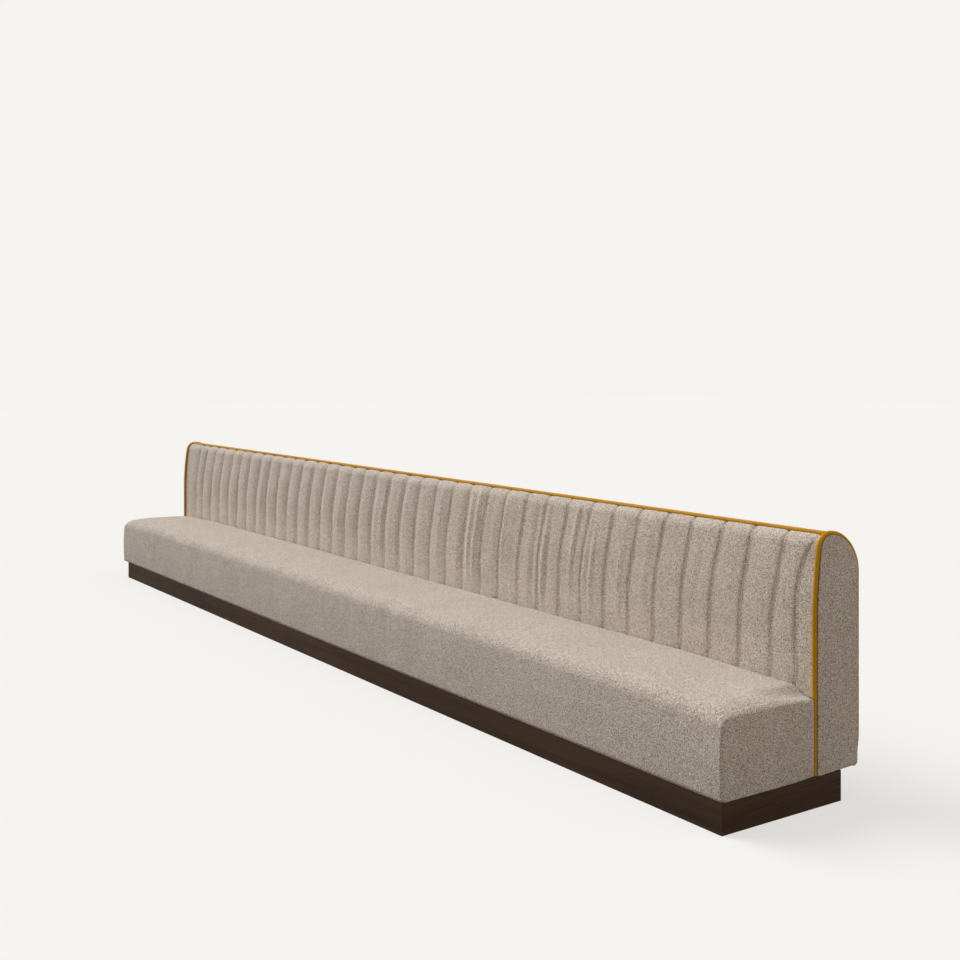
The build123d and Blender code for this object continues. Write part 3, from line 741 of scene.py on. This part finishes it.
mustard = material_of(
    "mustard_bias_cloth", bias_group(), sheen=0.05, bump=0.0004, specular=0.18, Threads=180.0,
    Thread=(0.620, 0.310, 0.006, 1), Shadow=(0.340, 0.145, 0.003, 1))

crest_turn = radians(90 + crest_piping_turn)
crest_at = brow_centre + np.array([cos(crest_turn), sin(crest_turn)]) * (brow_radius - piping_inset)
crest_run = np.linspace(-crest_piping_end, crest_piping_end, 900)
crest_line = np.stack(np.broadcast_arrays(crest_run, *crest_at), axis=-1)
dress(tube("crest_piping_cord", crest_line, sides=12, seed=1), mustard, "piping", "crest_piping")
tucked = smooth((np.linspace(0, 1, end_piping_points) - heel_from) / heel_over)[:, None]
round_back, round_heel = (even(back_line(inset), end_piping_points) for inset in (piping_inset, heel_inset))
for name, side in (("near", 1), ("far", -1)):
    end_line = np.insert(round_back + (round_heel - round_back) * tucked, 0, side * end_piping_at, axis=1)
    cord = tube(f"{name}_end_piping_cord", end_line, sides=16, seed=2 + side)
    dress(cord, mustard, "piping", f"{name}_end_piping")

# Plinth: dark walnut veneered boards, mitred at the corners and oiled. The grain runs along each board, so on the
# end boards it is turned by a quarter.


def grain_group():
    """Wood: long streaks along X, slow bands of colour, and short dark pores drawn out along the grain."""
    group, given = pattern_group(
        "grain", ("Light", "Color"), ("Deep", "Color"), ("Pore", "Color"), ("Gloss", "Float"))
    place = given["Vector"]
    broad = shader_node(group, "ShaderNodeMapping", Vector=place, Scale=(0.7, 14.0, 14.0)).outputs[0]
    fine = shader_node(group, "ShaderNodeMapping", Vector=place, Scale=(6.0, 260.0, 260.0)).outputs[0]
    figure = noise(group, broad, 1.0, 5.0, distortion=0.8)
    streak = noise(group, fine, 1.0, 3.0)
    pores = range_of(group, streak, 0.58, 0.68)
    tone = range_of(group, maths(group, "ADD", figure, maths(group, "MULTIPLY", streak, 0.35)), 0.45, 0.90)
    colour = blend_colours(group, tone, given["Light"], given["Deep"])
    colour = blend_colours(group, maths(group, "MULTIPLY", pores, 0.6), colour, given["Pore"])
    roughness = maths(group, "ADD", given["Gloss"], maths(group, "MULTIPLY", pores, 0.2))
    return put_out(group, colour, maths(group, "SUBTRACT", 1.0, pores), roughness)


def finish_node(name, material):
    """Gives a node that stays its material."""
    nodes[name].data.materials.clear()
    nodes[name].data.materials.append(material)


grain = grain_group()
quarter_turn = (0, 0, radians(90))
walnut_tones = dict(
    Light=(0.070, 0.035, 0.017, 1), Deep=(0.026, 0.013, 0.007, 1), Pore=(0.010, 0.005, 0.003, 1), Gloss=0.50)
walnut_along = material_of("walnut_along", grain, bump=0.0003, specular=0.25, **walnut_tones)
walnut_across = material_of("walnut_across", grain, bump=0.0003, specular=0.25, turn=quarter_turn, **walnut_tones)
for name in nodes:
    if "_plinth_" in name:
        finish_node(name, walnut_across if name.endswith("_end") else walnut_along)

# Frame: plywood ribs, boards and rails under the upholstery and bearers in the plinth, sawn and left bare. The
# grain of the ribs and bearers runs from front to rear, and that of the rest along the bench.
ply_tones = dict(
    Light=(0.560, 0.400, 0.230, 1), Deep=(0.420, 0.280, 0.150, 1), Pore=(0.250, 0.150, 0.080, 1), Gloss=0.60)
ply_along = material_of("plywood_along", grain, bump=0.0003, **ply_tones)
ply_across = material_of("plywood_across", grain, bump=0.0003, turn=quarter_turn, **ply_tones)
for name in nodes:
    if "_rib_" in name or "bearer" in name:
        finish_node(name, ply_across)
    elif name.endswith(("_board", "_deck", "_rail")):
        finish_node(name, ply_along)

# Fixings: zinc-plated bolts that draw the ribs of two sections together, and pressed steel angles screwed behind
# the plinth.


def zinc_group():
    """Zinc plating: flat pale grey with faint crystal patches that differ in gloss."""
    group, given = pattern_group("zinc", ("Metal", "Color"))
    patch = shader_node(group, "ShaderNodeTexVoronoi", Vector=given["Vector"], Scale=180.0)
    tone = shader_node(group, "ShaderNodeSeparateColor", Color=patch.outputs["Color"]).outputs[0]
    colour = shaded(group, given["Metal"], range_of(group, tone, 0.0, 1.0, 0.82, 1.0))
    return put_out(group, colour, tone, range_of(group, tone, 0.0, 1.0, 0.32, 0.48))


zinc = material_of("zinc_plate", zinc_group(), bump=0.00002, metallic=1.0, Metal=(0.62, 0.63, 0.65, 1))
finish_node("joint_bolts", zinc)
finish_node("floor_brackets", zinc)

# Stage: a plain pale floor and backdrop, soft light from the upper left with a wide fill from the right, and the
# camera of the photograph, which stands level with its lens shifted.
floor_reach = 40
floor_mesh = bpy.data.meshes.new("floor")
floor_mesh.from_pydata(
    [(x * floor_reach, y * floor_reach, 0) for x, y in ((-1, -1), (1, -1), (1, 1), (-1, 1))], [], [(0, 1, 2, 3)])
floor = bpy.data.objects.new("floor", floor_mesh)
bpy.context.scene.collection.objects.link(floor)
floor_material = bpy.data.materials.new("pale_floor")
floor_material.use_nodes = True
tree = floor_material.node_tree
plain = tree.nodes["Principled BSDF"]
plain.inputs["Roughness"].default_value = 0.95
plain.inputs["Specular IOR Level"].default_value = 0.0
seen = shader_node(tree, "ShaderNodeLightPath").outputs["Is Camera Ray"]
tree.links.new(blend_colours(tree, seen, (0.18, 0.175, 0.165, 1), (0.25, 0.25, 0.25, 1)), plain.inputs["Base Color"])
tree.links.new(blend_colours(tree, seen, (0, 0, 0, 1), (0.622, 0.617, 0.598, 1)), plain.inputs["Emission Color"])
plain.inputs["Emission Strength"].default_value = 1.0
floor_mesh.materials.append(floor_material)

world = bpy.data.worlds.new("studio")
bpy.context.scene.world = world
world.use_nodes = True
tree = world.node_tree
sky = tree.nodes["Background"]
sky.inputs["Color"].default_value = (1.0, 0.940, 0.855, 1)
sky.inputs["Strength"].default_value = 0.42
backdrop = shader_node(tree, "ShaderNodeBackground", Color=(0.905, 0.896, 0.871, 1), Strength=1.0)
path = shader_node(tree, "ShaderNodeLightPath")
shown = maths(tree, "MAXIMUM", path.outputs["Is Camera Ray"], path.outputs["Is Glossy Ray"])
shown = maths(tree, "MAXIMUM", shown, path.outputs["Is Transmission Ray"])
both = shader_node(tree, "ShaderNodeMixShader", i0=shown, i1=sky.outputs[0], i2=backdrop.outputs[0])
tree.links.new(both.outputs[0], tree.nodes["World Output"].inputs["Surface"])

for name, energy, angle, turn, tint in (
        ("window_light", 3.0, 42, (18, -44, 0), (0.99, 1.0, 1.03)),
        ("fill_light", 0.72, 90, (-25, 62, 0), (1.0, 0.965, 0.905))):
    lamp = bpy.data.lights.new(name, "SUN")
    lamp.energy = energy
    lamp.angle = radians(angle)
    lamp.color = tint
    light = bpy.data.objects.new(name, lamp)
    light.rotation_euler = [radians(part) for part in turn]
    bpy.context.scene.collection.objects.link(light)

camera_data = bpy.data.cameras.new("camera")
camera = bpy.data.objects.new("camera", camera_data)
camera.location = (6.260, -3.466, 1.640)
camera.rotation_euler = (radians(90), 0, atan2(0.8265, 0.5629))
camera_data.sensor_width = 36
camera_data.lens = 46.25
camera_data.shift_y = -0.1212
bpy.context.scene.collection.objects.link(camera)
bpy.context.scene.camera = camera
bpy.context.scene.view_settings.view_transform = "Standard"
